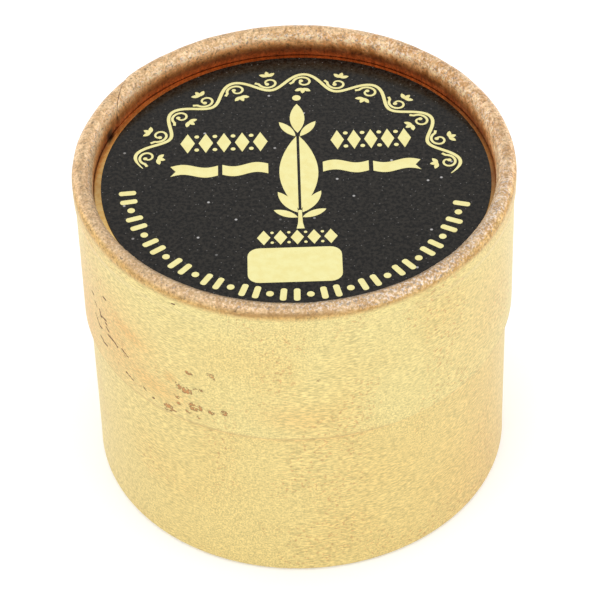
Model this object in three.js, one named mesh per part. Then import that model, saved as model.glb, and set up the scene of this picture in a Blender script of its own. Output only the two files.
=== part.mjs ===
// A round two-piece paperboard box for a rosin cake: a lid with a rolled rim slides over a base,
// and a cake in a fluted paper cup stands inside. Millimetres, +Z up. The origin is the centre of
// the base's underside, on the axis that every piece is turned about.

import * as THREE from 'three';

// ---- driving dimensions -------------------------------------------------------------------
const SIDES = 48;               // facets around each turned piece, all lined up with each other

const TOTAL_HEIGHT = 41.9;      // floor to the crest of the lid's rim
const RIM_RADIUS = 25.0;        // outside of the rolled rim, the widest place
const LID_RADIUS = 24.82;       // outside of the lid's straight wall
const BASE_RADIUS = 24.18;      // outside of the base's straight wall
const LID_EDGE_Z = 22.2;        // the lid's lower edge

const PAPER = 0.10;             // gold foil paper
const GLUE = 0.02;              // clear gap between pieces that are glued together
const BOARD = 0.40;             // wound paperboard of both walls
const DISC = 1.2;               // paperboard discs
const LABEL = 0.10;

const RIM_WIDTH = 2.24;         // rolled rim, from its outside to the face around the label
const RIM_HEIGHT = 3.6;         // the rim's height, from its crest to the crease below it
const RIM_SWELL = 0.25;         // share of that height over which the wall swells out
const LABEL_DEPTH = 3.1;        // label's face below the rim's crest
const LABEL_RADIUS = 21.95;

const FOOT_WIDTH = 2.2;         // turned-in bottom edge of the base
const FOOT_RADIUS = 0.65;       // rounding of that edge
const FOOT_RISE = 2.2;          // height of the turned-in edge

const REST_GAP = 0.05;          // clear gap under a piece that rests loosely on another

const CUP_RADIUS = 21.6;        // fluted cup's mouth, over the crests
const CUP_FLOOR_RADIUS = 19.6;
const CUP_HEIGHT = 25.0;
const CUP_PAPER = 0.25;
const FLUTES = 48;
const FLUTE_DEPTH = 0.7;
const CAKE_HEIGHT = 21.0;
const CAKE_CHAMFER = 0.8;
const CAKE_CLEARANCE = 0.3;     // between the cake and the cup's inner crests

// ---- colours ------------------------------------------------------------------------------
const GOLD_PAPER = { color: 0xe3c47c, roughness: 0.45, metalness: 0.35 };
const GREY_BOARD = { color: 0xb9a684, roughness: 0.9, metalness: 0.0 };
const WHITE_PAPER = { color: 0xece6d8, roughness: 0.85, metalness: 0.0 };
const BLACK_LABEL = { color: 0x1c1a1b, roughness: 0.25, metalness: 0.0 };
const AMBER_ROSIN = { color: 0x7a3a12, roughness: 0.2, metalness: 0.0 };

// ---- helpers ------------------------------------------------------------------------------
const point = (r, z) => new THREE.Vector2(r, z);

// Points of an arc about (r, z) from one angle to another, in degrees, both ends included.
function arc(r, z, radius, fromDeg, toDeg, steps) {
  const points = [];
  for (let i = 0; i <= steps; i += 1) {
    const angle = THREE.MathUtils.degToRad(fromDeg + (toDeg - fromDeg) * i / steps);
    points.push(point(r + radius * Math.cos(angle), z + radius * Math.sin(angle)));
  }
  return points;
}

// A lathe about +Z. The profile runs anticlockwise in (r, z), so its faces point out.
function turned(profile, sides = SIDES) {
  const geometry = new THREE.LatheGeometry(profile, sides);
  geometry.rotateX(Math.PI / 2);
  return geometry;
}

// A ring whose section is a closed loop of points that doesn't touch the axis.
const ring = (loop) => turned([...loop, loop[0]]);

// A flat round disc between two heights.
function disc(radius, low, high) {
  return turned([point(0, low), point(radius, low), point(radius, high), point(0, high)]);
}

function named(name, geometry, look) {
  const mesh = new THREE.Mesh(geometry, new THREE.MeshStandardMaterial(look));
  mesh.name = name;
  return mesh;
}

// ---- lid ----------------------------------------------------------------------------------
// The rolled rim is a hairpin: the wall goes up, over a rounded crest and straight down inside.
// layer 0 is the paper's outer face, and each ply lies further in by its own thickness.
const rimInnerRadius = RIM_RADIUS - RIM_WIDTH;
const crestRadius = RIM_WIDTH / 2;
const crestCentreR = RIM_RADIUS - crestRadius;
const crestCentreZ = TOTAL_HEIGHT - crestRadius;
const creaseZ = TOTAL_HEIGHT - RIM_HEIGHT;

const labelTopZ = TOTAL_HEIGHT - LABEL_DEPTH;
const facingTopZ = labelTopZ - LABEL - GLUE;
const lidDiscTopZ = facingTopZ - PAPER - GLUE;
const lidDiscBottomZ = lidDiscTopZ - DISC;

// One ply of the lid's wall, from inset to inset + thickness inside the outer face.
function lidPly(inset, thickness) {
  const outerWall = (depth) => [
    point(LID_RADIUS - depth, LID_EDGE_Z),
    point(LID_RADIUS - depth, creaseZ),
    point(RIM_RADIUS - depth, creaseZ + RIM_HEIGHT * RIM_SWELL),
  ];
  const crest = (depth) => arc(crestCentreR, crestCentreZ, crestRadius - depth, 0, 180, 8);
  const innerEdge = (depth) => [point(rimInnerRadius + depth, facingTopZ + GLUE)];
  const outside = (depth) => [...outerWall(depth), ...crest(depth), ...innerEdge(depth)];
  return ring([...outside(inset), ...outside(inset + thickness).reverse()]);
}

function lidParts() {
  const discRadius = LID_RADIUS - PAPER - GLUE - BOARD - GLUE;
  return [
    named('lid_wrap', lidPly(0, PAPER), GOLD_PAPER),
    named('lid_tube', lidPly(PAPER + GLUE, BOARD), GREY_BOARD),
    named('lid_disc', disc(discRadius, lidDiscBottomZ, lidDiscTopZ), GREY_BOARD),
    named('lid_disc_facing', disc(discRadius, facingTopZ - PAPER, facingTopZ), GOLD_PAPER),
    named('lid_label', disc(LABEL_RADIUS, labelTopZ - LABEL, labelTopZ), BLACK_LABEL),
  ];
}

// ---- base ---------------------------------------------------------------------------------
const baseTopZ = lidDiscBottomZ - REST_GAP;
const footInnerRadius = BASE_RADIUS - FOOT_WIDTH;
const floorBottomZ = FOOT_RISE + GLUE;                    // underside of the paper under the floor
const floorDiscBottomZ = floorBottomZ + PAPER + GLUE;
const floorTopZ = floorDiscBottomZ + DISC;

// One ply of the base's wall. It is turned in at the bottom, under the floor disc.
function basePly(inset, thickness) {
  const outside = (depth) => [
    point(footInnerRadius + depth, FOOT_RISE),
    ...arc(footInnerRadius + FOOT_RADIUS, FOOT_RADIUS, FOOT_RADIUS - depth, 180, 270, 3),
    ...arc(BASE_RADIUS - FOOT_RADIUS, FOOT_RADIUS, FOOT_RADIUS - depth, 270, 360, 3),
    point(BASE_RADIUS - depth, baseTopZ),
  ];
  return ring([...outside(inset), ...outside(inset + thickness).reverse()]);
}

function baseParts() {
  const boardInnerRadius = BASE_RADIUS - PAPER - GLUE - BOARD;
  const linerOuter = boardInnerRadius - GLUE;
  const linerInner = linerOuter - PAPER;
  const discRadius = linerInner - GLUE;
  const facingRadius = boardInnerRadius - GLUE;
  const liner = ring([
    point(linerInner, floorDiscBottomZ),
    point(linerOuter, floorDiscBottomZ),
    point(linerOuter, baseTopZ),
    point(linerInner, baseTopZ),
  ]);
  return [
    named('base_wrap', basePly(0, PAPER), GOLD_PAPER),
    named('base_tube', basePly(PAPER + GLUE, BOARD), GREY_BOARD),
    named('base_liner', liner, WHITE_PAPER),
    named('base_disc', disc(discRadius, floorDiscBottomZ, floorTopZ), GREY_BOARD),
    named('base_disc_facing', disc(facingRadius, floorBottomZ, floorBottomZ + PAPER), GOLD_PAPER),
  ];
}

// ---- contents -----------------------------------------------------------------------------
// How far the pleated wall lies inside its crests at an angle.
const fluteOffset = (angle) => FLUTE_DEPTH * (Math.cos(angle * FLUTES) - 1) / 2;

// The cup is a pleated cone with a flat floor, made by moving a lathe's points in and out.
function cupGeometry(bottomZ) {
  const inside = CUP_PAPER;
  const profile = [
    point(0, bottomZ),
    point(CUP_FLOOR_RADIUS, bottomZ),
    point(CUP_RADIUS, bottomZ + CUP_HEIGHT),
    point(CUP_RADIUS - inside, bottomZ + CUP_HEIGHT),
    point(CUP_FLOOR_RADIUS - inside, bottomZ + inside),
    point(0, bottomZ + inside),
  ];
  const geometry = turned(profile, FLUTES * 2);
  const position = geometry.getAttribute('position');
  for (let i = 0; i < position.count; i += 1) {
    const x = position.getX(i);
    const y = position.getY(i);
    const radius = Math.hypot(x, y);
    if (radius > CUP_FLOOR_RADIUS / 2) {
      const scale = 1 + fluteOffset(Math.atan2(y, x)) / radius;
      position.setXY(i, x * scale, y * scale);
    }
  }
  return geometry;
}

function cakeGeometry(bottomZ) {
  const wall = CUP_PAPER + FLUTE_DEPTH + CAKE_CLEARANCE;
  const slope = (CUP_RADIUS - CUP_FLOOR_RADIUS) / CUP_HEIGHT;
  const radiusAt = (rise) => CUP_FLOOR_RADIUS - wall + slope * rise;
  return turned([
    point(0, bottomZ),
    point(radiusAt(0) - CAKE_CHAMFER, bottomZ),
    point(radiusAt(CAKE_CHAMFER), bottomZ + CAKE_CHAMFER),
    point(radiusAt(CAKE_HEIGHT - CAKE_CHAMFER), bottomZ + CAKE_HEIGHT - CAKE_CHAMFER),
    point(radiusAt(CAKE_HEIGHT) - CAKE_CHAMFER, bottomZ + CAKE_HEIGHT),
    point(0, bottomZ + CAKE_HEIGHT),
  ]);
}

function contentsParts() {
  const cupBottomZ = floorTopZ + REST_GAP;
  const cakeBottomZ = cupBottomZ + CUP_PAPER + REST_GAP;
  return [
    named('rosin_cup', cupGeometry(cupBottomZ), WHITE_PAPER),
    named('rosin_cake', cakeGeometry(cakeBottomZ), AMBER_ROSIN),
  ];
}

// ---- assembly -----------------------------------------------------------------------------
const box = new THREE.Group();
box.add(...lidParts(), ...baseParts(), ...contentsParts());

export default box;
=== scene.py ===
# Looks of a round gold-papered rosin box: lid with a rolled rim and a black label, base, cup and cake.
import math

import bpy
import numpy as np
from mathutils import Matrix, Vector, noise


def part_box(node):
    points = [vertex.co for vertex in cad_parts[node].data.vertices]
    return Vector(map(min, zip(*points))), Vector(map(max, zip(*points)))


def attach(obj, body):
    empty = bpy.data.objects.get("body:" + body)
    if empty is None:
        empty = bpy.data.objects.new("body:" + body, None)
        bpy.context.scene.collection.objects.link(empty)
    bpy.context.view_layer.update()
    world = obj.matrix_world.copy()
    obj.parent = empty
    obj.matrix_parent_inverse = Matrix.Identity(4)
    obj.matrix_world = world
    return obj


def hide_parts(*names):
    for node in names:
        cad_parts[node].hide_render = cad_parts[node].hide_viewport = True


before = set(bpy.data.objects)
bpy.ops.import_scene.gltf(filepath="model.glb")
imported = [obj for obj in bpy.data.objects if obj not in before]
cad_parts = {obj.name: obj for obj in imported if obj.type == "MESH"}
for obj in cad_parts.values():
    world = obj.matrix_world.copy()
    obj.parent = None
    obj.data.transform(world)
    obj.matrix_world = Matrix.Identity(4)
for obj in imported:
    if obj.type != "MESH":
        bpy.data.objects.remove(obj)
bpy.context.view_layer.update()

MM = 0.001
TAU = math.tau

# ---- sizes from the frame -----------------------------------------------------------------


def top(node):
    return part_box(node)[1][2]


def bottom(node):
    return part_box(node)[0][2]


def radius(node):
    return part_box(node)[1][0]


RIM_R = radius("lid_wrap")
LID_TOP = top("lid_wrap")
LID_EDGE = bottom("lid_wrap")
BASE_R = radius("base_wrap")
BASE_TOP = top("base_wrap")
LABEL_R = radius("lid_label")
LABEL_TOP = top("lid_label")
LABEL_BOTTOM = bottom("lid_label")
FACING_TOP = top("lid_disc_facing")
FACING_BOTTOM = bottom("lid_disc_facing")

LID_WALL_R = 24.82 * MM     # the lid's straight wall
RIM_WIDTH = 2.24 * MM       # rolled rim, outside to inside
RIM_HEIGHT = 3.6 * MM       # crest to the crease below the rim
FOOT_WIDTH = 2.2 * MM
FOOT_ROUND = 0.65 * MM
FOOT_RISE = 2.2 * MM
PAPER = 0.10 * MM
GLUE = 0.02 * MM
BOARD = 0.40 * MM

RIM_CREASE = LID_TOP - RIM_HEIGHT
RIM_IN_R = RIM_R - RIM_WIDTH
CREST_R = RIM_WIDTH / 2     # the roll is round outside and falls away more slowly inside
INNER_FALL = 2.4 * MM
CREST_LINE = RIM_R - CREST_R
RIM_DEPTH = LID_TOP - FACING_TOP
RUB_TURN = 0.5      # radians: how far the bow's track across the cake is turned

# ---- meshes -------------------------------------------------------------------------------


def smooth(edge0, edge1, x):
    """0 at edge0, 1 at edge1 and beyond it, an even S between."""
    t = np.clip((x - edge0) / (edge1 - edge0), 0.0, 1.0)
    return t * t * (3 - 2 * t)


def bell(value, middle, width, power=2):
    """1 where value is middle, falling away over width on both sides. power is even."""
    return np.exp(-(((value - middle) / width) ** power))


def oval(centre, across, up, start, end, steps):
    """Points of an oval's arc in a profile, angles in degrees, both ends included."""
    angles = np.radians(np.linspace(start, end, steps + 1))
    return [(centre[0] + across * math.cos(a), centre[1] + up * math.sin(a)) for a in angles]


def arc(centre, r, start, end, steps):
    return oval(centre, r, r, start, end, steps)


def finer(points, step):
    """The same open profile with no stretch longer than step."""
    out = [points[0]]
    for (r0, z0), (r1, z1) in zip(points, points[1:]):
        n = max(1, math.ceil(math.hypot(r1 - r0, z1 - z0) / step))
        out += [(r0 + (r1 - r0) * i / n, z0 + (z1 - z0) * i / n) for i in range(1, n + 1)]
    return out


def add_object(name, verts, faces, materials, crease=35):
    mesh = bpy.data.meshes.new(name)
    mesh.from_pydata([tuple(v) for v in verts], [], faces)
    mesh.validate()
    for material in materials:
        mesh.materials.append(material)
    mesh.shade_smooth()
    mesh.set_sharp_from_angle(angle=math.radians(crease))
    obj = bpy.data.objects.new(name, mesh)
    bpy.context.scene.collection.objects.link(obj)
    return obj


def ring_faces(rows, columns, closed_loop):
    """Quads of a grid of rows by columns that closes round its columns, and round its rows if asked."""
    faces = []
    last = rows if closed_loop else rows - 1
    for i in range(last):
        for j in range(columns):
            a, b = i * columns, ((i + 1) % rows) * columns
            k = (j + 1) % columns
            faces.append((a + j, a + k, b + k, b + j))
    return faces


def revolve(name, profile, columns, materials, shape=None, crease=35):
    """A profile turned about Z. It is a closed loop, or starts and ends on the axis.
    shape(angle, r, z, row) gives new r and z, all arrays of rows by columns."""
    on_axis = profile[0][0] == 0
    body = profile[1:-1] if on_axis else profile
    angle, r = np.meshgrid(np.linspace(0, TAU, columns, endpoint=False), [p[0] for p in body])
    z = np.repeat(np.array([p[1] for p in body])[:, None], columns, axis=1)
    if shape:
        row = np.repeat(np.arange(len(body))[:, None], columns, axis=1)
        r, z = shape(angle, r, z, row)
    verts = np.stack([r * np.cos(angle), r * np.sin(angle), z], axis=-1).reshape(-1, 3).tolist()
    faces = ring_faces(len(body), columns, not on_axis)
    if on_axis:
        start, end = len(verts), len(verts) + 1
        verts += [(0, 0, profile[0][1]), (0, 0, profile[-1][1])]
        last = (len(body) - 1) * columns
        for j in range(columns):
            k = (j + 1) % columns
            faces.append((start, k, j))
            faces.append((end, last + j, last + k))
    return add_object(name, verts, faces, materials, crease)


def disc(name, out_r, low, high, materials, columns=192, rings=()):
    """A flat round sheet or board with its edges just broken. rings are radii where its faces need
    more points."""
    floor = [(r, low) for r in (0, *rings)]
    ceiling = [(r, high) for r, _ in reversed(floor)]
    edge = 0.02 * MM
    rim = [(out_r - edge, low), (out_r, low + edge), (out_r, high - edge), (out_r - edge, high)]
    return revolve(name, floor + rim + ceiling, columns, materials)


def ripple(angle, z, size, seed):
    """Soft seamless noise on a round wall, about -1 to 1; size is the width of a swell in metres."""
    scale = RIM_R / size
    flat = np.empty(angle.size)
    for i, (a, h) in enumerate(zip(angle.ravel(), z.ravel())):
        at = (math.cos(a) * scale, math.sin(a) * scale, h / size + seed)
        flat[i] = noise.noise(at)
    return flat.reshape(angle.shape)


def vertex_values(obj, name, values):
    attribute = obj.data.attributes.new(name, "FLOAT", "POINT")
    attribute.data.foreach_set("value", np.ascontiguousarray(values, dtype=np.float32).ravel())


def round_values(angle, stops):
    """A value that runs straight between (degrees, value) stops, round and round the axis."""
    degrees = np.degrees(angle) % 360
    at = sorted((a % 360, v) for a, v in stops)
    return np.interp(degrees, [a for a, _ in at], [v for _, v in at], period=360)


def positions(obj):
    co = np.empty(len(obj.data.vertices) * 3, dtype=np.float32)
    obj.data.vertices.foreach_get("co", co)
    return co.reshape(-1, 3).astype(float)


def round_positions(obj):
    """The angle, radius and height of every point."""
    x, y, z = positions(obj).T
    return np.arctan2(y, x), np.hypot(x, y), z


def keep(obj, body, slot, *nodes):
    """Ties a piece to its body and hides the nodes it stands for. slot is not used."""
    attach(obj, body)
    if nodes:
        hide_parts(*nodes)


def replace_disc(name, node, material, body, slot):
    """A disc of the same size in place of a CAD disc."""
    keep(disc(name, radius(node), bottom(node), top(node), [material]), body, slot, node)


# ---- material building --------------------------------------------------------------------


class Look:
    """A node material under construction. Values are sockets, numbers or colours."""

    def __init__(self, name):
        self.material = bpy.data.materials.new(name)
        self.material.use_nodes = True
        self.tree = self.material.node_tree
        self.shader = self.tree.nodes["Principled BSDF"]
        self.object_space = self.add("ShaderNodeTexCoord").outputs["Object"]

    def add(self, kind, inputs=(), **settings):
        node = self.tree.nodes.new(kind)
        for key, value in settings.items():
            setattr(node, key, value)
        for key, value in dict(inputs).items():
            self.put(node.inputs[key], value)
        return node

    def put(self, socket, value):
        if isinstance(value, bpy.types.NodeSocket):
            self.tree.links.new(value, socket)
        elif value is not None:
            if socket.type == "RGBA" and len(value) == 3:
                value = (*value, 1.0)
            socket.default_value = value

    def set(self, **inputs):
        for key, value in inputs.items():
            self.put(self.shader.inputs[key.replace("_", " ")], value)

    def math(self, operation, a, b=None, c=None):
        node = self.add("ShaderNodeMath", operation=operation)
        for socket, value in zip(node.inputs, (a, b, c)):
            self.put(socket, value)
        return node.outputs[0]

    def scaled(self, x, y, z, vector=None):
        node = self.add("ShaderNodeVectorMath", operation="MULTIPLY")
        self.put(node.inputs[0], vector or self.object_space)
        self.put(node.inputs[1], (x, y, z))
        return node.outputs[0]

    def noise(self, vector, detail=3.0, rough=0.5, distortion=0.0):
        inputs = {"Vector": vector, "Scale": 1.0}
        inputs |= {"Detail": detail, "Roughness": rough, "Distortion": distortion}
        return self.add("ShaderNodeTexNoise", inputs).outputs["Fac"]

    def even_noise(self, scale, **settings):
        """Noise with as many swells per metre each way."""
        return self.noise(self.scaled(scale, scale, scale), **settings)

    def remap(self, value, low, high, to_low=0.0, to_high=1.0, soft=True):
        inputs = {"Value": value, "From Min": low, "From Max": high, "To Min": to_low, "To Max": to_high}
        shape = "SMOOTHSTEP" if soft else "LINEAR"
        return self.add("ShaderNodeMapRange", inputs, interpolation_type=shape).outputs["Result"]

    def mix(self, factor, a, b):
        """Colour a at factor 0 and colour b at factor 1."""
        node = self.add("ShaderNodeMix", data_type="RGBA")
        self.put(node.inputs["Factor"], factor)
        self.put(node.inputs["A"], a)
        self.put(node.inputs["B"], b)
        return node.outputs["Result"]

    def vector(self, operation, a, b=None, output="Vector"):
        node = self.add("ShaderNodeVectorMath", operation=operation)
        self.put(node.inputs[0], a)
        if b is not None:
            self.put(node.inputs["Scale" if operation == "SCALE" else 1], b)
        return node.outputs[output]

    def shade(self, colour, factor):
        """A colour made lighter or darker by a factor."""
        return self.vector("SCALE", colour, factor)

    def round_noise(self, around, across):
        """Noise in rings about the axis: around swells per radian, across swells per metre."""
        flat = self.scaled(1, 1, 0)
        ring = self.vector("SCALE", self.vector("NORMALIZE", flat), around)
        outwards = self.math("MULTIPLY", self.vector("LENGTH", flat, output="Value"), across)
        height = self.add("ShaderNodeSeparateXYZ", {"Vector": self.object_space}).outputs["Z"]
        offset = self.add("ShaderNodeCombineXYZ", {"Z": outwards}).outputs["Vector"]
        inputs = {"Vector": self.vector("ADD", ring, offset), "W": self.math("MULTIPLY", height, across)}
        inputs |= {"Scale": 1.0, "Detail": 2.0, "Roughness": 0.55}
        return self.add("ShaderNodeTexNoise", inputs, noise_dimensions="4D").outputs["Fac"]

    def dust(self, scale, size, rarity):
        """Round specks on a flat face: scale cells per metre, size within a cell, most cells empty."""
        inputs = {"Vector": self.object_space, "Scale": scale}
        node = self.add("ShaderNodeTexVoronoi", inputs, voronoi_dimensions="2D")
        near = self.remap(node.outputs["Distance"], size, size * 2.2, 1.0, 0.0)
        chosen = self.remap(node.outputs["Color"], rarity, rarity + 0.05)
        return self.math("MULTIPLY", near, chosen)

    def ramp(self, value, stops):
        """A colour that runs through (position, colour) stops."""
        node = self.add("ShaderNodeValToRGB", {"Fac": value})
        elements = node.color_ramp.elements
        while len(elements) < len(stops):
            elements.new(0.5)
        for element, (position, colour) in zip(elements, stops):
            element.position = position
            element.color = (*colour, 1)
        return node.outputs["Color"]

    def value(self, name):
        return self.add("ShaderNodeAttribute", attribute_name=name).outputs["Fac"]

    def bump(self, height, distance, strength=1.0, normal=None):
        node = self.add("ShaderNodeBump", {"Height": height, "Distance": distance, "Strength": strength})
        self.put(node.inputs["Normal"], normal)
        return node.outputs["Normal"]


# ---- materials ----------------------------------------------------------------------------

# Colours, in linear light.
GOLD = (0.745, 0.620, 0.268)
GOLD_DEEP = (0.735, 0.550, 0.211)
GOLD_BLUSH = (0.73, 0.455, 0.165)
COPPER = (0.73, 0.51, 0.285)
FLANK = (0.64, 0.41, 0.145)
COPPER_DEEP = (0.56, 0.33, 0.13)
RUBBED_PALE_AND_HIGHLIGHT = (0.90, 0.82, 0.76)
RUBBED_GREY = (0.42, 0.36, 0.31)
CREASE_BROWN = (0.34, 0.19, 0.07)
SEAM_BROWN = (0.14, 0.06, 0.02)
NOTCH_SHADOW = (0.05, 0.014, 0.008)
HEM_SHADE = (0.50, 0.32, 0.14)
FOXING = (0.60, 0.36, 0.14)
SCUFF_EDGE = (0.21, 0.105, 0.028)
SCUFF_FILL = (0.56, 0.265, 0.085)
NICK_BROWN = (0.13, 0.05, 0.016)
FOIL_DARK = (0.80, 0.50, 0.15)
FOIL_PALE = (0.92, 0.65, 0.25)
MARGIN_SHADE_COLOUR = (0.15, 0.035, 0.013)
GAP_SHADOW = (0.10, 0.035, 0.012)
BOARD_BROWN = (0.52, 0.42, 0.28)
PAPER_WHITE = (0.83, 0.79, 0.70)
PAPER_YELLOWING = (0.93, 0.88, 0.80)    # how much of each colour is left where the paper is old
LABEL_BLACK = (0.003, 0.0025, 0.002)
LABEL_GREY = (0.021, 0.018, 0.014)
DUST_PALE = (0.42, 0.41, 0.40)
DUST_FAINT = (0.12, 0.115, 0.11)
INK_PALE = (0.90, 0.84, 0.40)
INK_DEEP = (0.86, 0.77, 0.33)
ROSIN_DARK = (0.17, 0.035, 0.004)
ROSIN_AMBER = (0.40, 0.105, 0.012)
ROSIN_DUST = (0.82, 0.70, 0.52)
FLOOR_GREY = (0.92, 0.93, 0.95)
FLOOR_GLOW = (0.85, 0.93, 1.0)

RIM_TINTS = ((1.13, 1.12, 1.14), (0.80, 0.64, 0.47))    # its mottle makes the rim paler, and browner
FOIL_METALLIC = 0.7

# Down the rim's inner side, from the crest at 0 to the facing at 1: painted light just below the crest,
# then painted shade and a painted red reflection that darken and redden the foil.
INNER_SIDE_SHADE = (
    (0.28, (0.95, 0.67, 0.40)),
    (0.46, (0.90, 0.48, 0.20)),
    (0.60, (0.52, 0.20, 0.06)),
    (0.74, (0.30, 0.085, 0.025)),
    (1.00, (0.44, 0.10, 0.025)),
)


def gold_paper(name, on_lid):
    """Gold foil paper: speckle and fine ribs in patches, clusters of brown spots, and on the lid the
    rubbed rim and the marks."""
    look = Look(name)
    ribs = look.noise(look.scaled(1800, 1800, 7600), detail=1, rough=0.5)
    speckle = look.noise(look.scaled(5400, 5400, 5000), detail=1, rough=0.5)
    cloud = look.even_noise(60, detail=3, rough=0.5)
    where = look.noise(look.scaled(90, 90, 60), detail=1)
    grain = look.mix(look.remap(where, 0.35, 0.62, 0.25, 0.85), speckle, ribs)
    colour = look.mix(look.remap(cloud, 0.40, 0.75, 0.0, 0.75), GOLD, GOLD_DEEP)
    if not on_lid:
        colour = look.mix(0.45, colour, GOLD_DEEP)
    # a warm tint for stains on the lid, painted warm reflection near the sides, and a painted shadow on
    # the base below the lid's edge
    stain_and_painted_light = look.math("MULTIPLY", look.value("stain_and_painted_light"), look.remap(ribs, 0.3, 0.6, 0.55, 1.0))
    colour = look.mix(stain_and_painted_light, colour, GOLD_BLUSH)
    spots = look.remap(look.even_noise(2600, detail=2, rough=0.5), 0.57, 0.66)
    clusters = look.remap(look.even_noise(130, detail=1), 0.47, 0.60, 0.0, 0.75)
    colour = look.mix(look.math("MULTIPLY", spots, clusters), colour, FOXING)
    colour = look.shade(colour, look.remap(grain, 0.34, 0.66, 0.77, 1.21, soft=False))
    roughness = look.remap(grain, 0.3, 0.7, 0.48, 0.38, soft=False)
    normal = look.bump(grain, 0.02 * MM, 0.35)
    look.set(Metallic=FOIL_METALLIC)
    if on_lid:
        colour, roughness, normal = lid_details(look, colour, roughness, normal)
    look.set(Base_Color=colour, Roughness=roughness, Normal=normal)
    return look.material


def lid_details(look, colour, roughness, normal):
    """The rim's coppery grain, its rubbed crest, its painted highlights and painted shade, painted red
    reflection down its inner side, and the marks on the wall.
    """
    streak = look.round_noise(75, 4000)
    fleck = look.even_noise(3700, detail=2, rough=0.6)
    spark = look.even_noise(2700, detail=2, rough=0.65)
    stain = look.even_noise(150, detail=3, rough=0.6)
    grain = look.math("MULTIPLY_ADD", streak, 0.5, look.math("MULTIPLY", fleck, 0.5))

    # the rim's own colour, and down its inner side painted shade and painted red reflection
    rim = look.mix(look.value("crest"), FLANK, COPPER)
    rim = look.mix(look.remap(stain, 0.50, 0.72, 0.0, 0.5), rim, COPPER_DEEP)
    depth = look.math("ADD", look.value("depth"), look.math("MULTIPLY_ADD", fleck, 0.24, -0.12))
    rim = look.mix(look.remap(depth, 0.16, 0.30), rim, look.ramp(depth, INNER_SIDE_SHADE))
    # wrinkles with painted shade in their hollows and painted light on their ridges, mottle and grain
    wrinkle = look.round_noise(62, 1000)
    mottle = look.even_noise(950, detail=4, rough=0.6)
    tint = look.mix(look.remap(mottle, 0.42, 0.58), *RIM_TINTS)
    tint = look.shade(tint, look.remap(wrinkle, 0.40, 0.62, 0.90, 1.09))
    rim = look.vector("MULTIPLY", rim, look.mix(look.value("wrinkled"), (1, 1, 1), tint))
    rim = look.shade(rim, look.remap(grain, 0.38, 0.62, 0.68, 1.27, soft=False))
    rim = look.shade(rim, look.remap(spark, 0.58, 0.68, 1.0, 0.50))
    # painted highlight on the rim's inner side round the sides and back
    rim = look.shade(rim, look.math("MULTIPLY_ADD", look.value("painted_highlight"), 0.28, 1.0))
    # where it is rubbed, with flecks that also paint a highlight, creased, or open with a painted shadow
    wear_and_highlight = look.value("wear_and_highlight")
    rim = look.mix(look.math("MULTIPLY", wear_and_highlight, look.remap(fleck, 0.50, 0.62)), rim, RUBBED_PALE_AND_HIGHLIGHT)
    rim = look.mix(look.math("MULTIPLY", wear_and_highlight, look.remap(spark, 0.55, 0.65)), rim, RUBBED_GREY)
    crease = look.math("MULTIPLY", look.value("crease"), look.remap(stain, 0.3, 0.6, 0.6, 1.0))
    rim = look.mix(crease, rim, CREASE_BROWN)
    # painted shadow in the hole under the overlap's corner
    rim = look.mix(look.value("notch"), rim, NOTCH_SHADOW)
    # painted shade on the crest at the front and painted light inside the rim at the right
    rim = look.shade(rim, look.value("painted_light_and_shade"))
    colour = look.mix(look.value("rim"), colour, rim)

    # the overlap's edge, painted shade along the lower edge, and the marks on the wall
    past = look.math("ABSOLUTE", look.value("past_overlap"))
    seam = look.math("MULTIPLY", look.remap(past, 0.08, 0.17, 1.0, 0.0), look.value("near_overlap"))
    colour = look.mix(seam, colour, SEAM_BROWN)
    hem = look.math("MULTIPLY", look.value("hem"), look.remap(stain, 0.35, 0.6, 0.1, 0.7))
    colour = look.mix(hem, colour, HEM_SHADE)
    torn = look.even_noise(2300, detail=3, rough=0.7)
    ragged = look.remap(torn, 0.38, 0.60, 0.1, 1.4, soft=False)
    scuff = look.math("MULTIPLY", look.value("scuff"), ragged)
    edge = look.remap(scuff, 0.40, 0.54, 0.0, 0.9)
    colour = look.mix(edge, colour, SCUFF_EDGE)
    colour = look.mix(look.remap(scuff, 0.72, 0.90), colour, SCUFF_FILL)
    nick = look.math("ADD", look.value("nick"), look.math("MULTIPLY_ADD", torn, 0.5, -0.25))
    nick = look.remap(nick, 0.73, 0.84)
    colour = look.mix(nick, colour, NICK_BROWN)
    # bare and dull places don't shine
    bare = look.math("MAXIMUM", nick, edge)
    dull = look.math("MAXIMUM", bare, look.value("dull"))
    look.set(Metallic=look.math("MULTIPLY_ADD", dull, -FOIL_METALLIC, FOIL_METALLIC))
    roughness = look.math("MULTIPLY_ADD", bare, 0.3, roughness)
    normal = look.bump(grain, 0.05 * MM, look.value("rim"), normal)
    normal = look.bump(wrinkle, 0.10 * MM, look.value("wrinkled"), normal)
    return colour, roughness, normal


def facing_foil(name):
    """The disc's gold foil, smoother than the wrap because nothing rubs it, with a painted shadow line
    where the wrap's inner edge is glued down on it, and its bare margin painted darker as shade."""
    look = Look(name)
    grain = look.even_noise(1800, detail=3, rough=0.6)
    colour = look.mix(look.remap(grain, 0.35, 0.65), FOIL_DARK, FOIL_PALE)
    # painted shade on the facing's bare margin, by angle
    colour = look.mix(look.value("margin_shade"), colour, MARGIN_SHADE_COLOUR)
    # painted shadow line where the wrap's inner edge meets the facing
    colour = look.mix(look.value("gap"), colour, GAP_SHADOW)
    normal = look.bump(grain, 0.02 * MM, 0.3)
    look.set(Base_Color=colour, Metallic=1.0, Roughness=0.22, Normal=normal)
    return look.material


def times(colour, *factors):
    """A colour with all its parts, or each in turn, multiplied."""
    factors = factors if len(factors) == 3 else factors * 3
    return tuple(min(1.0, c * f) for c, f in zip(colour, factors))


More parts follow.
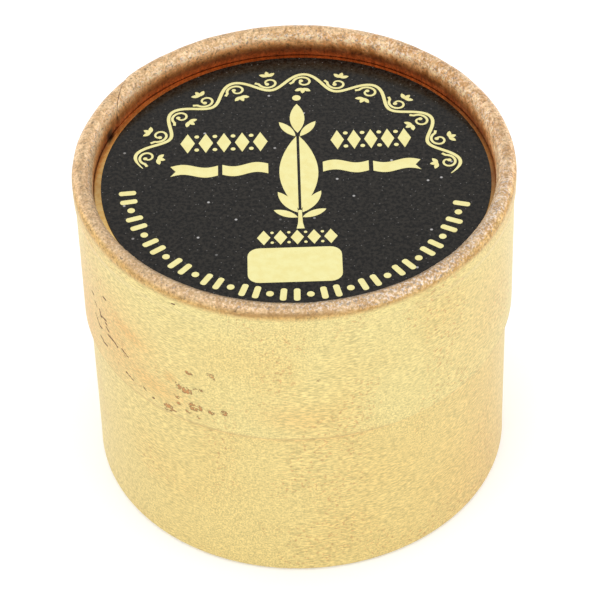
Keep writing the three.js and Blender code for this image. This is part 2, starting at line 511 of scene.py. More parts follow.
def paperboard(name):
    """Wound grey-brown board with flecks and long fibres."""
    look = Look(name)
    fibre = look.noise(look.scaled(300, 300, 2400), detail=5, rough=0.65)
    fleck = look.even_noise(1500, detail=3, rough=0.7)
    colour = look.mix(look.remap(fibre, 0.35, 0.65), times(BOARD_BROWN, 0.62), times(BOARD_BROWN, 1.25))
    colour = look.mix(look.remap(fleck, 0.66, 0.74), colour, times(BOARD_BROWN, 0.35))
    look.set(Base_Color=colour, Roughness=0.88, Normal=look.bump(fibre, 0.05 * MM, 0.6))
    return look.material


def white_paper(name):
    """Plain uncoated paper, faintly clouded with age."""
    look = Look(name)
    cloud = look.even_noise(160, detail=4)
    fibre = look.noise(look.scaled(1800, 1800, 900), detail=4, rough=0.65)
    old = times(PAPER_WHITE, *PAPER_YELLOWING)
    colour = look.mix(look.remap(cloud, 0.3, 0.75), PAPER_WHITE, old)
    look.set(Base_Color=colour, Roughness=0.72, Normal=look.bump(fibre, 0.03 * MM, 0.6))
    return look.material


def label_paper(name):
    """Black varnished print: a faint mottle under the gloss and specks of dust."""
    look = Look(name)
    mottle = look.even_noise(2400, detail=3, rough=0.65)
    colour = look.mix(look.remap(mottle, 0.38, 0.62), LABEL_BLACK, LABEL_GREY)
    colour = look.mix(look.dust(330, 0.03, 0.72), colour, DUST_PALE)
    colour = look.mix(look.dust(900, 0.035, 0.50), colour, DUST_FAINT)
    roughness = look.remap(mottle, 0.3, 0.7, 0.12, 0.20, soft=False)
    look.set(Base_Color=colour, Roughness=roughness, Normal=look.bump(mottle, 0.02 * MM, 0.1))
    look.set(Specular_IOR_Level=0.18)
    return look.material


def printed_ink(name):
    """Pale gold ink, a little uneven."""
    look = Look(name)
    mottle = look.even_noise(900, detail=4, rough=0.6)
    colour = look.mix(look.remap(mottle, 0.3, 0.7), INK_PALE, INK_DEEP)
    normal = look.bump(mottle, 0.01 * MM, 0.1)
    look.set(Base_Color=colour, Metallic=0.6, Roughness=0.2, Normal=normal)
    return look.material


def cast_rosin(name):
    """Glassy amber resin with a dusty streaked track where a bow has rubbed it."""
    look = Look(name)
    cloud = look.even_noise(90, detail=5, rough=0.6, distortion=0.6)
    inputs = {"Vector": look.object_space, "Angle": RUB_TURN}
    turned = look.add("ShaderNodeVectorRotate", inputs, rotation_type="Z_AXIS").outputs["Vector"]
    streak = look.noise(look.scaled(3600, 170, 170, turned), detail=3, rough=0.55)
    dust = look.even_noise(2600, detail=3, rough=0.7)
    colour = look.mix(look.remap(cloud, 0.3, 0.7), ROSIN_DARK, ROSIN_AMBER)
    rubbed = look.value("rubbed")
    powder = look.math("MULTIPLY", rubbed, look.remap(streak, 0.54, 0.68, 0.10, 0.60))
    powder = look.math("MULTIPLY", powder, look.remap(dust, 0.3, 0.6, 0.3, 1.0))
    colour = look.mix(powder, colour, ROSIN_DUST)
    roughness = look.remap(powder, 0.0, 1.0, 0.12, 0.7, soft=False)
    normal = look.bump(cloud, 0.2 * MM, 0.25)
    normal = look.bump(streak, 0.02 * MM, look.math("MULTIPLY", rubbed, 0.4), normal)
    look.set(Base_Color=colour, Roughness=roughness, Normal=normal)
    look.set(Subsurface_Weight=0.15, Subsurface_Radius=(0.006, 0.002, 0.0006), Subsurface_Scale=0.5)
    look.set(Specular_IOR_Level=0.35, IOR=1.54)
    return look.material


# ---- lid ----------------------------------------------------------------------------------

# Places where the foil is rubbed through to brown, in one cluster at the front left of the lid's
# wall: angle in degrees, height, width and tallness in mm, tilt in degrees and weight. The heavier
# a mark is, the less of it the ragged edge takes away.
SCUFFS = (
    (-120.2, 29.9, 1.2, 0.45, -10, 0.9),
    (-113.2, 30.5, 1.0, 0.5, -25, 1.5),
    (-121.4, 27.0, 1.7, 0.75, -3, 1.4),
    (-122.6, 27.5, 1.2, 0.3, -10, 1.0),
    (-117.2, 27.7, 1.4, 0.4, 5, 0.85),
    (-123.8, 25.4, 0.8, 0.4, -30, 0.9),
    (-123.2, 24.5, 0.75, 0.4, 10, 0.9),
    (-126.9, 23.0, 1.05, 0.9, 0, 1.2),
    (-124.8, 22.9, 0.6, 0.3, 0, 0.8),
    (-118.8, 24.8, 1.0, 0.9, 0, 1.2),
    (-117.2, 24.9, 0.8, 0.7, -20, 0.9),
    (-120.2, 23.6, 1.3, 0.28, -25, 0.9),
    (-117.5, 23.4, 0.5, 0.3, -50, 0.9),
    (-113.8, 24.8, 0.7, 0.6, -30, 0.85),
    (-110.2, 25.2, 0.65, 0.6, 0, 1.1),
    (-96.0, 27.6, 0.4, 0.4, 0, 0.6),
    (-85.5, 31.3, 1.0, 0.4, 10, 0.5),
)
# Nicks in the foil, cut to the dark board: angle in degrees, height and length in mm, tilt.
NICKS = (
    (-158.4, 30.9, 0.7, -5),
    (-156.7, 29.9, 0.8, -40),
    (-150.3, 32.9, 0.7, 0),
    (-153.8, 29.4, 1.1, -76),
    (-151.8, 29.3, 1.3, 12),
    (-156.2, 27.6, 1.4, -46),
    (-150.4, 28.9, 0.5, 0),
    (-150.1, 28.2, 0.7, -20),
    (-154.3, 27.1, 0.7, 14),
    (-154.2, 25.4, 0.9, -10),
    (-152.2, 25.2, 0.9, 8),
    (-148.6, 27.4, 1.3, 0),
    (-146.0, 27.2, 0.7, -24),
    (-142.0, 27.2, 1.2, -20),
    (-140.8, 24.0, 1.3, -19),
    (-134.8, 23.8, 0.5, -38),
    (-131.8, 23.2, 0.3, 0),
    (-122.7, 39.9, 0.3, 0),
)
NICK_REACH = 0.6    # mm: how far a nick's mask takes to fall to 0
# Rosy washes, given as the rubbed places are: stains where the foil is thin, and the one at -165 degrees
# a painted warm reflection near the wall's left side.
WASHES = (
    (-141.0, 31.0, 7.0, 2.6, -12, 1.0),
    (-149.0, 28.0, 13.0, 12.0, 0, 0.8),
    (-30.0, 30.0, 14.0, 16.0, 0, 0.4),
    (-165.0, 26.0, 11.0, 16.0, 0, 0.9),
    (-133.5, 25.5, 9.0, 3.5, -6, 0.8),
    (-125.8, 28.0, 1.7, 1.5, 0, 0.8),
    (-92.0, 25.5, 7.0, 3.0, 0, 0.4),
    (-16.0, 39.6, 14.0, 3.0, 0, 0.6),
    (-164.0, 39.6, 14.0, 3.0, 0, 0.6),
)
# How far the rim's crest is rubbed, by angle in degrees; from 25 to 60 degrees this also paints a
# highlight along the crest.
CREST_WEAR = (
    (-150, 0.2), (-110, 0.4), (-85, 0.9), (-20, 0.95), (5, 0.2), (25, 0.35), (60, 0.4),
    (85, 0.15), (170, 0.06),
)
# How far the foil's shine has gone on the rim's inner side, by angle in degrees.
DULLNESS = (
    (-140, 0.3), (-60, 0.8), (10, 0.9), (40, 0.1), (150, 0.1), (180, 0.3),
)
# How strongly the paper is wrinkled and mottled on the rim, by angle in degrees.
WRINKLING = (
    (-150, 0.27), (-110, 0.42), (-60, 0.54), (-20, 0.66), (20, 0.95), (70, 1),
    (100, 0.45), (140, 0.6), (170, 0.4),
)
# How strongly painted shade and red reflection darken the rim's inner side down to the facing, by angle
# in degrees.
INNER_DEPTH = (
    (-150, 0.4), (-90, 0.8), (-30, 0.40), (0, 0.50), (20, 0.86), (50, 1), (130, 1),
    (160, 0.9), (180, 0.55),
)
# How much the roll swells on its inner side, in mm, by angle in degrees.
RIM_SWELL = (
    (-150, 0.04), (-120, -0.05), (-60, -0.05), (-30, 0.10), (10, 0.0), (180, 0.0),
)
# How dark the facing's bare margin is painted as shade, by angle in degrees.
MARGIN_SHADE_BY_ANGLE = (
    (-150, 0), (-60, 0), (-30, 0.4), (0, 0.9), (20, 0.5), (45, 0.15), (90, 0.5),
    (140, 0), (165, 0.3), (180, 0.6),
)
OVERLAP_TOP = math.radians(138)     # where the wrap's overlapping end crosses the rim's outside
OVERLAP_SLANT = math.radians(14.5)  # how far round it runs from the rim's outside to its inside
# the hole under the overlap's corner is painted as a shadow
NOTCH_AT = math.radians(157.5)      # the overlap's corner stands clear of the facing here
NOTCH_WIDTH = math.radians(2.0)
PUCKERS = 131                       # gathers in the paper round the rim's inner side


def lid_outline(inset):
    """The lid wall's profile from its lower edge up, over the rim and down to the facing."""
    wall = [
        (LID_WALL_R - inset, LID_EDGE),
        (LID_WALL_R - inset, RIM_CREASE),
        (RIM_R - inset, RIM_CREASE + RIM_HEIGHT * 0.25),
    ]
    outer = arc((CREST_LINE, LID_TOP - CREST_R), CREST_R - inset, 0, 90, 16)
    inner = oval((CREST_LINE, LID_TOP - INNER_FALL), CREST_R - inset, INNER_FALL - inset, 90, 180, 22)
    return wall + outer + inner[1:] + [(RIM_IN_R + inset, FACING_TOP + GLUE)]


def rim_normal(r, z):
    """The way the lid's surface faces in its profile: out, over the rim, or in."""
    outside = r > CREST_LINE
    fall = np.where(outside, CREST_R, INNER_FALL)
    up = np.maximum((z - LID_TOP + fall) / fall**2, 0)
    out = np.where(up > 0, (r - CREST_LINE) / CREST_R**2, np.where(outside, 1.0, -1.0))
    length = np.hypot(out, up)
    return out / length, up / length


def past_overlap(angle, r):
    """Distance round the lid past the wrap's overlapping end, which runs straight down the wall
    and slants over the rim."""
    across = np.clip((RIM_R - r) / RIM_WIDTH, 0, 1)
    return (OVERLAP_TOP + OVERLAP_SLANT * across - angle % TAU) * RIM_R


def lid_wrap_shape(rows_outside):
    """Dents, lumps, the overlap's step, puckers inside the rim and an uneven lower edge. The overlap
    shows only on the outer of the paper's two faces."""

    def shape(angle, r, z, row):
        outer = row < rows_outside
        dent = ripple(angle, z, 16 * MM, 3.1) * 0.05 * MM
        dent += ripple(angle, z, 2.4 * MM, 9.7) * 0.012 * MM
        on_rim = smooth(RIM_CREASE, RIM_CREASE + 1.0 * MM, z)
        lumpy = ripple(angle, z, 3.0 * MM, 5.0) * on_rim
        lumps = lumpy * 0.05 * MM
        past = past_overlap(angle, r)
        step = smooth(-0.06 * MM, 0.06 * MM, past) * (1 - smooth(1.5 * MM, 7 * MM, past)) * 0.10 * MM
        inside = smooth(0.55, 1.0, (RIM_R - r) / RIM_WIDTH) * on_rim
        pucker = np.sin(angle * PUCKERS + 2.0 * lumpy) * 0.022 * MM * inside
        swell = round_values(angle, RIM_SWELL) * inside * MM
        push = dent + lumps + pucker + swell + step * outer
        out, up = rim_normal(r, z)
        hem = ripple(angle, z, 4 * MM, 7.0) * 0.05 * MM * (1 - smooth(0.0, 0.8 * MM, z - LID_EDGE))
        return r + out * push, z + up * push + hem

    return shape


def from_mark(angle, z, at, height, tilt):
    """How far along and across a tilted mark on the lid's wall each point is from its middle, in mm."""
    along = ((np.degrees(angle) - at + 180) % 360 - 180) * math.radians(1) * LID_WALL_R / MM
    up = z / MM - height
    c, s = math.cos(math.radians(tilt)), math.sin(math.radians(tilt))
    return along * c + up * s, up * c - along * s


def blot(angle, z, at, height, wide, tall, tilt, power):
    """A soft-edged mark on the lid's wall, 1 at its middle. A higher power gives a harder edge."""
    u, v = from_mark(angle, z, at, height, tilt)
    return np.exp(-(np.abs(u * 1.6 / wide) ** power + np.abs(v * 1.6 / tall) ** power))


def near_nick(angle, z, at, height, long, tilt):
    """1 on a short straight nick in the lid's wall, falling to 0 over NICK_REACH."""
    u, v = from_mark(angle, z, at, height, tilt)
    beyond = np.maximum(np.abs(u) - long / 2, 0)
    return np.clip(1 - np.hypot(beyond, v) / NICK_REACH, 0, 1)


def mark_rim(obj, angle, r, z):
    """Masks for the rim: copper crest, painted shade down the inner side, painted highlights and shade,
    and where it is rubbed, dull or wrinkled.
    """
    below = LID_TOP - z
    inside = r < CREST_LINE
    rim = np.where(inside, 1.0, smooth(1.8 * MM, 0.9 * MM, below))
    vertex_values(obj, "rim", rim)
    from_front = (np.degrees(angle) + 90 + 180) % 360 - 180
    beside = bell(np.abs(from_front), 62, 22)
    coppery = smooth((1.0 - 0.5 * beside) * MM, (0.25 - 0.18 * beside) * MM, below)
    vertex_values(obj, "crest", np.where(inside, 1.0, coppery))
    # painted shade and painted red reflection down the rim's inner side, scaled by angle
    depth = np.where(inside, below / RIM_DEPTH, 0.0)
    vertex_values(obj, "depth", depth * round_values(angle, INNER_DEPTH))

    crest = bell(below, 0, 0.42 * MM) * round_values(angle, CREST_WEAR)
    shoulder = bell(from_front, 32, 16) * bell(below, 0.55 * MM, 0.35 * MM)
    # painted highlight on the rim's inner side round the sides and back
    painted_highlight = bell(below, 0.70 * MM, 0.35 * MM) * inside * smooth(60, 85, np.abs(from_front))
    vertex_values(obj, "painted_highlight", painted_highlight)
    # rubbed flecks, with the painted highlight on the inner side added in
    vertex_values(obj, "wear_and_highlight", np.clip(crest * 0.75 + shoulder * 0.5 + painted_highlight * 0.6, 0, 1))
    front = smooth(115, 85, np.abs(from_front))
    top_band = smooth(0.45 * MM, 0.15 * MM, below)
    past_crest = smooth(0.15 * MM, -0.20 * MM, r - CREST_LINE) * bell(from_front, 0, 55, 4)
    dull = smooth(CREST_LINE, RIM_IN_R + 0.3 * MM, r)
    vertex_values(obj, "dull", dull * round_values(angle, DULLNESS))
    vertex_values(obj, "wrinkled", rim * round_values(angle, WRINKLING))
    at_right = bell(from_front, 90, 14) * smooth(0.2 * MM, 0.7 * MM, below) * inside
    # painted shade on the crest's top band and just inside the crest at the front, painted light on the
    # inner side at the right
    vertex_values(obj, "painted_light_and_shade", 1 - 0.13 * front * top_band - 0.40 * past_crest + 0.14 * at_right)

    wander = ripple(angle, z * 0, 5 * MM, 4.0) * 0.25 * MM
    at_front = bell(from_front, 0, 18)
    line = bell(below + wander, (1.25 - 0.55 * at_front) * MM, 0.24 * MM) * ~inside
    vertex_values(obj, "crease", line * (0.22 + 0.5 * at_front))


def mark_overlap(obj, angle, r, z):
    """Masks for the edge of the wrap's overlap and for the painted shadow under its corner."""
    below = LID_TOP - z
    past = past_overlap(angle, r) / MM
    vertex_values(obj, "past_overlap", np.clip(past, -3, 3))
    on_rim = smooth(2.6 * MM, 1.9 * MM, below)
    vertex_values(obj, "near_overlap", smooth(3, 1, np.abs(past)) * (0.14 + 0.76 * on_rim))
    # painted shadow in the hole under the overlap's corner, at the foot of the inner side
    notch = bell(angle % TAU, NOTCH_AT, NOTCH_WIDTH, 4) * smooth(2.1 * MM, 2.5 * MM, below)
    vertex_values(obj, "notch", notch * (r < CREST_LINE))


def mark_wall(obj, angle, r, z):
    """Masks for the marks on the wall, some of them painted warm reflection, and for painted shade along
    its lower edge, where the foil ends.
    """
    on_wall = (r >= CREST_LINE) & (LID_TOP - z > 1.0 * MM)
    # painted shade along the lid's lower edge
    vertex_values(obj, "hem", bell(z, LID_EDGE, 0.16 * MM))
    scuff, nick, wash = np.zeros(len(z)), np.zeros(len(z)), np.zeros(len(z))
    for *mark, weight in SCUFFS:
        scuff = np.maximum(scuff, weight * blot(angle, z, *mark, 3))
    for at, height, long, tilt in NICKS:
        nick = np.maximum(nick, near_nick(angle, z, at, height, long, tilt))
    for *mark, weight in WASHES:
        wash = np.maximum(wash, weight * blot(angle, z, *mark, 2))
    vertex_values(obj, "scuff", scuff * on_wall)
    vertex_values(obj, "nick", nick * on_wall)
    # stains, and painted warm reflection near the left side
    vertex_values(obj, "stain_and_painted_light", wash * on_wall)


def make_lid(looks):
    outside = finer(lid_outline(0), 0.18 * MM)
    inside = finer(lid_outline(PAPER), 0.8 * MM)
    loop = outside + inside[::-1]
    wrap = revolve("lid_gold_paper", loop, 840, [looks["lid_gold"]], lid_wrap_shape(len(outside)))
    for mark in (mark_rim, mark_overlap, mark_wall):
        mark(wrap, *round_positions(wrap))
    keep(wrap, "lid", "gold_paper", "lid_wrap")

    board = lid_outline(PAPER + GLUE)
    back = lid_outline(PAPER + GLUE + BOARD)
    loop = finer(board, 1.5 * MM) + finer(back, 0.8 * MM)[::-1]
    tube = revolve("lid_wound_board", loop, 240, [looks["board"]])
    keep(tube, "lid", "grey_board", "lid_tube")

    replace_disc("lid_top_board", "lid_disc", looks["board"], "lid", "grey_board")
    make_lid_facing(looks)


def make_lid_facing(looks):
    margin = np.arange(RIM_IN_R - 0.6 * MM, RIM_IN_R, 0.05 * MM)
    node = "lid_disc_facing"
    sizes = (radius(node), FACING_BOTTOM, FACING_TOP)
    facing = disc("lid_top_gold_facing", *sizes, [looks["foil"]], 360, margin)
    angle, r, _ = round_positions(facing)
    # painted shadow line at the facing's edge, fainter at the right, and the painted shadow under the
    # overlap's corner
    gap = smooth(RIM_IN_R - 0.22 * MM, RIM_IN_R - 0.10 * MM, r)
    gap *= 0.85 - 0.6 * bell(angle, 0, math.radians(18))
    notch = smooth(RIM_IN_R - 0.45 * MM, RIM_IN_R - 0.30 * MM, r)
    notch *= bell(angle % TAU, NOTCH_AT, NOTCH_WIDTH, 4)
    vertex_values(facing, "gap", np.maximum(gap, notch))
    # painted shade by angle, seen on the margin
    vertex_values(facing, "margin_shade", round_values(angle, MARGIN_SHADE_BY_ANGLE))
    keep(facing, "lid", "gold_paper", node)


# ---- label --------------------------------------------------------------------------------

LABEL_SHIFT = 0.165 * MM    # the label was stuck on a little to the right
LABEL_EDGE = 0.08 * MM      # and its edge lies over the gold this much further than the plain disc's
INK = 0.035 * MM            # the print stands proud of the label by this


class Print:
    """Flat closed shapes of ink on the label, in millimetres from the label's centre."""

    def __init__(self):
        self.verts = []
        self.faces = []
        self.coats = 0

    def shape(self, outline):
        """A raised solid over one closed outline, anticlockwise. Shapes that cross lie at slightly
        different heights, so that their tops don't fall in one plane."""
        self.coats = (self.coats + 1) % 5
        low, high = LABEL_TOP - 0.01 * MM, LABEL_TOP + INK * (1 - 0.1 * self.coats)
        first, n = len(self.verts), len(outline)
        for z in (low, high):
            self.verts += [(x * MM + LABEL_SHIFT, y * MM, z) for x, y in outline]
        self.faces.append(tuple(range(first + n, first + 2 * n)))
        self.faces.append(tuple(range(first + n - 1, first - 1, -1)))
        for i in range(n):
            j = (i + 1) % n
            self.faces.append((first + i, first + j, first + n + j, first + n + i))

    def stroke(self, path, widths):
        """A pen stroke along a path, as wide as widths says at each point."""
        left, right = [], []
        for i, (x, y) in enumerate(path):
            x0, y0 = path[max(i - 1, 0)]
            x1, y1 = path[min(i + 1, len(path) - 1)]
            length = math.hypot(x1 - x0, y1 - y0) or 1
            nx, ny = -(y1 - y0) / length, (x1 - x0) / length
            left.append((x + nx * widths[i] / 2, y + ny * widths[i] / 2))
            right.append((x - nx * widths[i] / 2, y - ny * widths[i] / 2))
        self.shape(right + left[::-1])

    def leaf(self, x, y, length, width, turn):
        """A pointed oval from (x, y), turned anticlockwise from +X by turn radians."""
        steps = 9
        ts = [i / steps for i in range(steps + 1)]
        low = [(t * length, -width / 2 * math.sin(math.pi * t) ** 0.8) for t in ts]
        high = [(t * length, width / 2 * math.sin(math.pi * t) ** 0.8) for t in ts[-2:0:-1]]
        self.shape(place(low + high, x, y, turn))

    def dot(self, x, y, size):
        steps = 16
        self.shape(arc((x, y), size / 2, 0, 360, steps)[:-1])

    def block(self, x, y, width, height, corner, turn=0.0):
        """A rectangle with round corners, centred on (x, y)."""
        points = []
        for k, (sx, sy) in enumerate(((1, 1), (-1, 1), (-1, -1), (1, -1))):
            cx, cy = sx * (width / 2 - corner), sy * (height / 2 - corner)
            points += arc((cx, cy), corner, 90 * k, 90 * k + 90, 5)
        self.shape(place(points, x, y, turn))


def place(points, x, y, turn):
    c, s = math.cos(turn), math.sin(turn)
    return [(x + px * c - py * s, y + px * s + py * c) for px, py in points]


def polar(r, degrees):
    a = math.radians(degrees)
    return r * math.cos(a), r * math.sin(a)


def vine(ink):
    """A scrolling vine along the label's upper edge: a waving stem with a curl in each bend and a
    spray of three leaves over it."""
    start, end, bends = 171.0, 1.0, 13      # degrees, degrees and how many
    middle, swing = 17.55, 1.30             # its radius and how far it waves to each side
    bend = math.radians(start - end) / bends
    per_bend, per_curl = 16, 26             # points
    wound = math.radians(400)               # how far a curl turns

    def at(u, v):
        """A point u radians to the right of the vine's start and v outwards from its middle."""
        return polar(middle + v, start - math.degrees(u))

    steps = bends * per_bend
    stem = [at(bend * i / per_bend, swing * math.sin(math.pi * i / per_bend)) for i in range(steps + 1)]
    ends = [min(1, 0.25 + i / 8, 0.25 + (steps - i) / 8) for i in range(steps + 1)]
    ink.stroke(stem, [0.40 * e for e in ends])
    for k in range(bends):
        side = 1 if k % 2 == 0 else -1
        middle_u = bend * (k + 0.5)
        curl = [at(middle_u - 1.62 / middle, side * -0.42)]
        for i in range(per_curl + 1):
            turned = wound * i / per_curl
            phi = math.pi - turned
            reach = 1.22 * math.exp(-0.17 * turned)
            u, v = reach * math.cos(phi) / middle, reach * math.sin(phi) * 0.92 - 0.12
            curl.append(at(middle_u + u, side * v))
        widths = [0.32 - 0.10 * i / len(curl) for i in range(len(curl))]
        ink.stroke(curl, widths)
        ink.dot(*curl[-1], 0.50)
        x, y = at(middle_u, -side * 1.25)
        outward = math.radians(start) - middle_u + (math.pi if side > 0 else 0)
        for lean, length in ((-1.05, 1.05), (0, 0.95), (1.05, 1.05)):
            ink.leaf(x, y, length, 0.52, outward + lean)


def beading(ink):
    """Bars and beads along the label's lower edge, two bars to each bead."""
    count, start, end = 37, -175.5, -15.0   # how many, degrees and degrees
    for k in range(count):
        at = start + (end - start) * k / (count - 1)
        x, y = polar(19.05, at)
        if k % 3 == 2:
            ink.dot(x, y, 0.85)
        else:
            ink.block(x, y, 1.95, 0.72, 0.3, math.radians(at))


def frieze(ink, left, right, y, height, count):
    """A row of lozenges with dots between them."""
    pitch = (right - left) / count
    for k in range(count):
        x = left + pitch * (k + 0.5)
        w, h = pitch * 0.40, height / 2
        ink.shape([(x + w, y), (x, y + h), (x - w, y), (x, y - h)])
        if k:
            for side in (-1, 1):
                ink.dot(left + pitch * k, y + side * height * 0.34, height * 0.16)


def ribbon(ink, side):
    """A waving ribbon in two lengths, its outer end cut to a swallowtail."""
    half_width, steps = 0.85, 14
    for near, far, rise, wave, tail in ((3.1, 8.3, 2.1, 0.315, 0), (8.8, 14.2, 2.0, -0.315, 0.6)):
        lower, upper = [], []
        for i in range(steps + 1):
            t = i / steps
            x = near + (far - near) * t
            y = rise + wave * math.sin(TAU * t)
            lower.append((side * x, y - half_width))
            upper.append((side * x, y + half_width))
        notch = [(side * (far - tail), rise)] if tail else []
        points = lower + notch + upper[::-1]
        ink.shape(points if side > 0 else points[::-1])


def emblem(ink):
    """A tall palmette: a split spindle between paired leaves, with a bud on top."""
    x0 = 0.35                   # its axis
    foot, tip = -5.0, 7.6       # the spindle's ends
    half_split, half_width = 0.16, 2.05
    steps = 14
    leaves = ((-5.6, 4.2, 1.25, 1.02), (-6.4, 3.0, 1.0, 0.45), (7.6, 3.2, 1.0, 0.95))
    for side in (-1, 1):
        outline = []
        for i in range(steps + 1):
            t = i / steps
            out = half_width * math.sin(math.pi * t) ** 0.85 if 0 < i < steps else 0
            outline.append((x0 + side * (half_split + out), foot + (tip - foot) * t))
        ink.shape(outline if side > 0 else outline[::-1])
        for y, length, width, turn in leaves:
            angle = turn if side > 0 else math.pi - turn
            ink.leaf(x0 + side * 0.25, y, length, width, angle)
    ink.leaf(x0, 8.2, 5.2, 1.7, math.pi / 2)
    ink.dot(x0, 14.5, 1.0)
    ink.stroke([(x0, -8.3), (x0, -7.4), (x0, -6.4), (x0, -5.2)], [0.9, 0.55, 0.45, 0.4])


def make_label(looks):
    sizes = (LABEL_R + LABEL_EDGE, LABEL_BOTTOM, LABEL_TOP)
    sheet = disc("label_black_sheet", *sizes, [looks["label"]], 256)
    sheet.data.transform(Matrix.Translation((LABEL_SHIFT, 0, 0)))
    keep(sheet, "lid", "black_label", "lid_label")
    ink = Print()
    vine(ink)
    beading(ink)
    frieze(ink, -13.3, -2.9, 6.85, 3.4, 5)
    frieze(ink, 3.9, 13.5, 6.75, 3.4, 5)
    frieze(ink, -4.7, 4.6, -9.7, 2.4, 5)
    ribbon(ink, -1)
    ribbon(ink, 1)
    emblem(ink)
    ink.block(-0.4, -14.2, 10.4, 5.6, 1.3)
    marks = add_object("label_gold_ornament", ink.verts, ink.faces, [looks["ink"]], 20)
    keep(marks, "lid", "black_label")


# ---- base ---------------------------------------------------------------------------------


def base_outline(inset):
    """The base wall's profile from the inside of its turned-in edge, under it and up the wall."""
    bend = FOOT_ROUND - inset
    inner = (BASE_R - FOOT_WIDTH + FOOT_ROUND, FOOT_ROUND)
    outer = (BASE_R - FOOT_ROUND, FOOT_ROUND)
    return (
        [(BASE_R - FOOT_WIDTH + inset, FOOT_RISE)]
        + arc(inner, bend, 180, 270, 8)
        + arc(outer, bend, 270, 360, 8)
        + [(BASE_R - inset, BASE_TOP)]
    )


def base_wrap_shape(angle, r, z, row):
    """Shallow dents in the wall."""
    wall = smooth(0.8 * MM, 2.0 * MM, z)
    dent = (ripple(angle, z, 16 * MM, 13.1) * 0.04 + ripple(angle, z, 2.4 * MM, 4.7) * 0.01) * MM
    return r + dent * wall, z


def make_base(looks):
    wrap = revolve(
        "base_gold_paper",
        finer(base_outline(0), 0.4 * MM) + finer(base_outline(PAPER), 1.2 * MM)[::-1],
        480,
        [looks["gold"]],
        base_wrap_shape,
    )
    angle, _, z = round_positions(wrap)
    # painted warm reflection near the base's right side
    wash = blot(angle, z, -28, 12, 15, 40, 0, 2)
    # painted shadow on the base just below the lid's edge
    shadow_below_lid = bell(z, LID_EDGE - 0.25 * MM, 0.45 * MM)
    vertex_values(wrap, "stain_and_painted_light", 0.35 * wash + 0.8 * shadow_below_lid)
    keep(wrap, "base", "gold_paper", "base_wrap")

    board = finer(base_outline(PAPER + GLUE), 1.5 * MM)
    back = finer(base_outline(PAPER + GLUE + BOARD), 1.5 * MM)
    tube = revolve("base_wound_board", board + back[::-1], 240, [looks["board"]])
    keep(tube, "base", "grey_board", "base_tube")

    node = "base_liner"
    out_r, low, high = radius(node), bottom(node), top(node)
    loop = [(out_r - PAPER, low), (out_r, low), (out_r, high), (out_r - PAPER, high)]
    liner = revolve("base_white_lining", finer(loop + loop[:1], 1.0 * MM)[:-1], 240, [looks["white"]])
    keep(liner, "base", "white_paper", node)

    replace_disc("base_floor_board", "base_disc", looks["board"], "base", "grey_board")
    replace_disc("base_floor_gold_facing", "base_disc_facing", looks["gold"], "base", "gold_paper")


# ---- contents -----------------------------------------------------------------------------

FLUTES = 48
FLUTE_DEPTH = 0.7 * MM
CUP_PAPER = 0.25 * MM
CUP_FLOOR_R = 19.6 * MM
CAKE_FLOOR_R = 18.35 * MM
CAKE_BEVEL = 0.9 * MM
CROWN = 0.1 * MM            # how far the cake's top lies below its highest point at the edge
TRACK_HALF = 7 * MM         # half the width of the bow's track, and of the dust on it
DUST_HALF = 8 * MM
TRACK_DEPTH = 0.55 * MM


def flute(angle):
    return FLUTE_DEPTH * (np.cos(angle * FLUTES) - 1) / 2


def cup_shape(angle, r, z, row):
    """Flutes in the wall and an uneven mouth."""
    on_wall = smooth(0.7, 0.95, r / radius("rosin_cup"))
    uneven = ripple(angle, z, 7 * MM, 2.0) * 0.12 * MM
    mouth = smooth(top("rosin_cup") - 4 * MM, top("rosin_cup"), z)
    torn = np.abs(ripple(angle, z, 3 * MM, 6.0)) * 0.15 * MM * mouth
    return r + (flute(angle) + uneven) * on_wall, z - torn


def make_cup(looks):
    node = "rosin_cup"
    low, high, mouth_r = bottom(node), top(node), radius(node)
    inner_low = low + CUP_PAPER
    profile = [
        (CUP_FLOOR_R * 0.5, low),
        (CUP_FLOOR_R, low),
        (mouth_r, high),
        (mouth_r - CUP_PAPER, high),
        (CUP_FLOOR_R - CUP_PAPER, inner_low),
        (CUP_FLOOR_R * 0.5, inner_low),
    ]
    profile = [(0, low)] + finer(profile, 0.9 * MM) + [(0, inner_low)]
    cup = revolve("fluted_paper_cup", profile, 576, [looks["white"]], cup_shape, 50)
    keep(cup, "contents", "white_paper", node)


def across_track(x, y):
    """Distance from the middle of the bow's track."""
    return x * math.cos(RUB_TURN) - y * math.sin(RUB_TURN)


def make_cake(looks):
    node = "rosin_cake"
    low, high, wide = bottom(node), top(node), radius(node)
    side = [
        (CAKE_FLOOR_R - CAKE_BEVEL, low),
        (CAKE_FLOOR_R, low + CAKE_BEVEL),
        (wide - 0.1 * MM, high - CAKE_BEVEL),
        (wide - 0.7 * MM, high - CROWN),
    ]
    crown = [(wide * f, high - CROWN) for f in (0.94, 0.86, 0.72, 0.55, 0.36, 0.18)]
    profile = [(0, low)] + finer(side, 0.8 * MM) + finer(crown, 0.8 * MM) + [(0, high - 0.35 * MM)]

    def cake_shape(angle, r, z, row):
        """The cup's flutes, cast fainter into the side, lumps, and the bow's track in the top."""
        on_side = smooth(0.80, 0.93, r / wide)
        on_top = (z > high - 0.5 * MM) * smooth(wide, wide * 0.8, r)
        lumps = ripple(angle, z, 5 * MM, 8.0) * 0.05 * MM
        track = bell(across_track(r * np.cos(angle), r * np.sin(angle)), 0, TRACK_HALF)
        return r + (flute(angle) * 0.55 + lumps) * on_side, z - TRACK_DEPTH * track * on_top

    cake = revolve("cast_rosin_cake", profile, 576, [looks["rosin"]], cake_shape, 30)
    x, y, z = positions(cake).T
    on_top = smooth(high - 1.4 * MM, high - 0.6 * MM, z)
    vertex_values(cake, "rubbed", bell(across_track(x, y), 0, DUST_HALF) * on_top)
    keep(cake, "contents", "amber_rosin", node)


# ---- stage --------------------------------------------------------------------------------


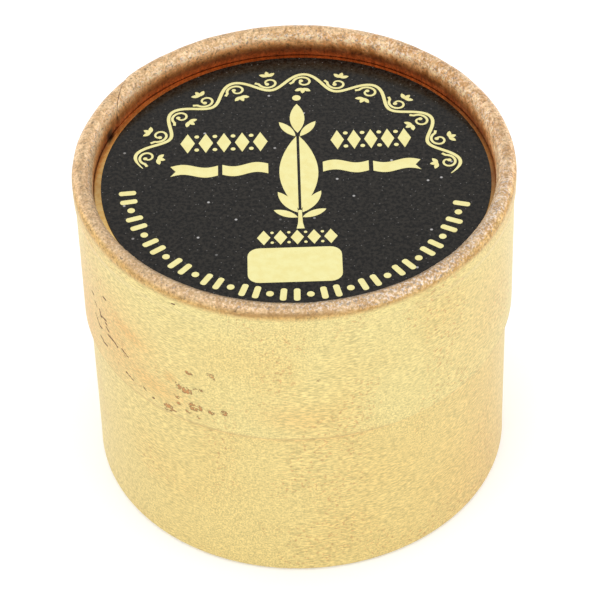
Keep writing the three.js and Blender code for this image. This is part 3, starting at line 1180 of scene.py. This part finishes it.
def area_light(name, place, target, size, power):
    data = bpy.data.lights.new(name, "AREA")
    data.shape = "DISK"
    data.size = size
    data.energy = power
    light = bpy.data.objects.new(name, data)
    light.location = place
    light.rotation_euler = (Vector(target) - Vector(place)).to_track_quat("-Z", "Y").to_euler()
    bpy.context.scene.collection.objects.link(light)


def make_stage():
    look = Look("pale_floor")
    look.set(Base_Color=FLOOR_GREY, Roughness=0.9, Specular_IOR_Level=0.1)
    look.set(Emission_Color=FLOOR_GLOW, Emission_Strength=0.18)
    half = 1.5
    corners = [(-half, -half, 0), (half, -half, 0), (half, half, 0), (-half, half, 0)]
    floor = add_object("floor", corners, [(0, 1, 2, 3)], [look.material])

    world = bpy.data.worlds.new("studio")
    world.use_nodes = True
    world.node_tree.nodes["Background"].inputs["Color"].default_value = (1, 1, 1, 1)
    world.node_tree.nodes["Background"].inputs["Strength"].default_value = 1.0
    bpy.context.scene.world = world
    centre = (0, 0, LID_TOP / 2)
    area_light("key", (-0.30, -0.40, 0.80), centre, 0.6, 0.9)
    area_light("fill", (0.50, -0.30, 0.60), centre, 0.6, 0.5)
    area_light("rim_left", (-0.55, 0.40, 0.16), centre, 0.6, 0.7)
    area_light("rim_right", (0.55, 0.40, 0.16), centre, 0.6, 0.7)


def make_camera():
    elevation, roll = math.radians(43.0), math.radians(-1.76)
    distance = 0.3679
    target = Vector((0.0002, 0, 0.02024))
    place = Vector((0, -distance * math.cos(elevation), target.z + distance * math.sin(elevation)))
    data = bpy.data.cameras.new("camera")
    data.sensor_width = 36
    data.lens = 188.9
    camera = bpy.data.objects.new("camera", data)
    turn = (target - place).to_track_quat("-Z", "Y").to_matrix().to_4x4()
    camera.matrix_world = Matrix.Translation(place) @ turn @ Matrix.Rotation(roll, 4, "Z")
    bpy.context.scene.collection.objects.link(camera)
    bpy.context.scene.camera = camera
    bpy.context.scene.view_settings.view_transform = "Standard"


def main():
    looks = {
        "lid_gold": gold_paper("gold_foil_paper_lid", True),
        "gold": gold_paper("gold_foil_paper", False),
        "foil": facing_foil("facing_gold_foil"),
        "board": paperboard("wound_paperboard"),
        "white": white_paper("white_lining_paper"),
        "label": label_paper("black_varnished_label"),
        "ink": printed_ink("pale_gold_ink"),
        "rosin": cast_rosin("cast_amber_rosin"),
    }
    make_camera()
    make_stage()
    make_lid(looks)
    make_label(looks)
    make_base(looks)
    make_cup(looks)
    make_cake(looks)


main()
